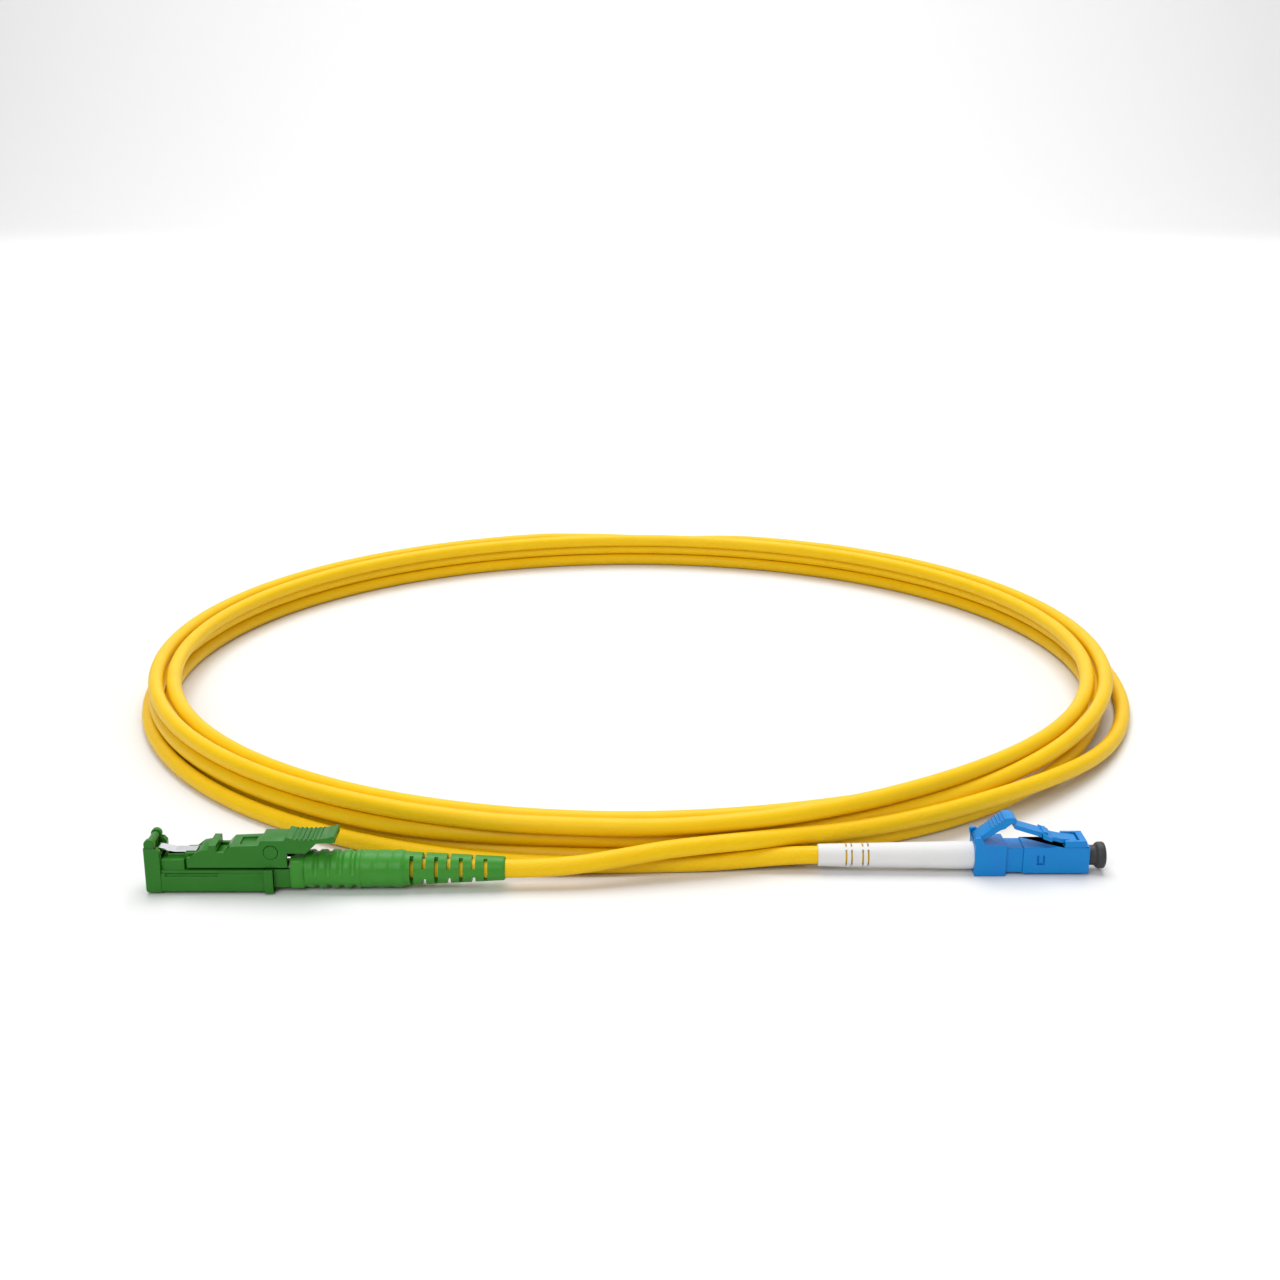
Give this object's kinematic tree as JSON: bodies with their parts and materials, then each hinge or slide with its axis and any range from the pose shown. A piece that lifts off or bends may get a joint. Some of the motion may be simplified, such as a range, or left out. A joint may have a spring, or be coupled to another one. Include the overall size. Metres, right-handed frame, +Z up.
{
  "type": "fiber optic patch cord",
  "caption": "Coiled simplex fibre patch cord with a shuttered lever plug at one end and a small latch plug with dust cap at the other.",
  "frame": {"origin": "on the surface the cord lies on, midway between the outer ends of the two plugs and midway across them", "axes": "+X along both plugs, from the shuttered plug towards the latch plug; +Z up; +Y from the plugs towards the coil"},
  "size_m": [0.2082, 0.2177, 0.0099],
  "materials": {
    "green_plastic": "moulded green housing plastic",
    "green_boot": "soft moulded green boot",
    "blue_plastic": "moulded blue housing plastic",
    "white_boot": "soft moulded white boot",
    "cap_grey": "dark grey soft dust cap",
    "jacket": "yellow extruded jacket with a fine grain",
    "buffer": "tight buffer",
    "zirconia": "polished zirconia",
    "nickel": "nickel-plated metal",
    "spring_steel": "bright spring wire and leaf"
  },
  "bodies": {
    "cord_and_plugs": {"e2000_housing": "green_plastic", "e2000_front_frame": "green_plastic", "e2000_shutter_pin": "green_plastic", "e2000_shutter_spring": "spring_steel", "e2000_lever_pin": "green_plastic", "e2000_collar": "green_plastic", "e2000_ferrule_spring": "spring_steel", "e2000_back_post": "nickel", "e2000_crimp_sleeve": "nickel", "e2000_boot": "green_boot", "lc_housing": "blue_plastic", "lc_rear_body": "blue_plastic", "lc_clip": "blue_plastic", "lc_ferrule_spring": "spring_steel", "lc_back_post": "nickel", "lc_crimp_sleeve": "nickel", "lc_boot": "white_boot", "cord_coil": "jacket", "cord_lead_e2000": "jacket", "cord_lead_lc": "jacket"},
    "e2000_shutter": {"e2000_shutter": "green_plastic"},
    "e2000_lever": {"e2000_lever": "green_plastic"},
    "e2000_ferrule": {"e2000_ferrule": "zirconia", "e2000_ferrule_holder": "nickel", "e2000_fiber": "buffer"},
    "lc_latch": {"lc_latch": "blue_plastic"},
    "lc_trigger": {"lc_trigger": "blue_plastic"},
    "lc_ferrule": {"lc_ferrule": "zirconia", "lc_ferrule_holder": "nickel", "lc_fiber": "buffer"},
    "lc_dust_cap": {"lc_dust_cap": "cap_grey"}
  },
  "joints": [
    {"name": "e2000_shutter_swing", "type": "hinge", "parent": "cord_and_plugs", "child": "e2000_shutter", "pos_m": [-0.0763, -0.00295, 0.00835], "axis": [0, 1, 0], "range_deg": [0, 90], "stiffness_Nm_per_rad": 0.00002, "springref_deg": -28.65},
    {"name": "e2000_lever_press", "type": "hinge", "parent": "cord_and_plugs", "child": "e2000_lever", "pos_m": [-0.0572, -0.00295, 0.007], "axis": [0, 1, 0], "range_deg": [0, 4], "stiffness_Nm_per_rad": 0.002, "springref_deg": -5.73},
    {"name": "e2000_ferrule_float", "type": "slide", "parent": "cord_and_plugs", "child": "e2000_ferrule", "axis": [1, 0, 0], "range_m": [0, 0.001], "stiffness_N_per_m": 800, "springref_m": -0.002, "deforming": ["e2000_ferrule_spring"]},
    {"name": "lc_trigger_press", "type": "hinge", "parent": "cord_and_plugs", "child": "lc_trigger", "pos_m": [0.0561, 0.00345, 0.00585], "axis": [0, 1, 0], "range_deg": [0, 14.8], "stiffness_Nm_per_rad": 0.0001, "springref_deg": -5.73},
    {"name": "lc_latch_press", "type": "hinge", "parent": "cord_and_plugs", "child": "lc_latch", "pos_m": [0.0721, 0.00345, 0.00541], "axis": [0, -1, 0], "range_deg": [0, 8.8]},
    {"name": "lc_ferrule_float", "type": "slide", "parent": "cord_and_plugs", "child": "lc_ferrule", "axis": [-1, 0, 0], "range_m": [0, 0.001], "stiffness_N_per_m": 800, "springref_m": -0.002, "deforming": ["lc_ferrule_spring"]},
    {"name": "lc_dust_cap_pull", "type": "slide", "parent": "cord_and_plugs", "child": "lc_dust_cap", "axis": [1, 0, 0], "range_m": [0, 0.012]}
  ],
  "couplings": [
    {"joint": "lc_latch_press", "follows": "lc_trigger_press", "ratio": 0.54054}
  ]
}
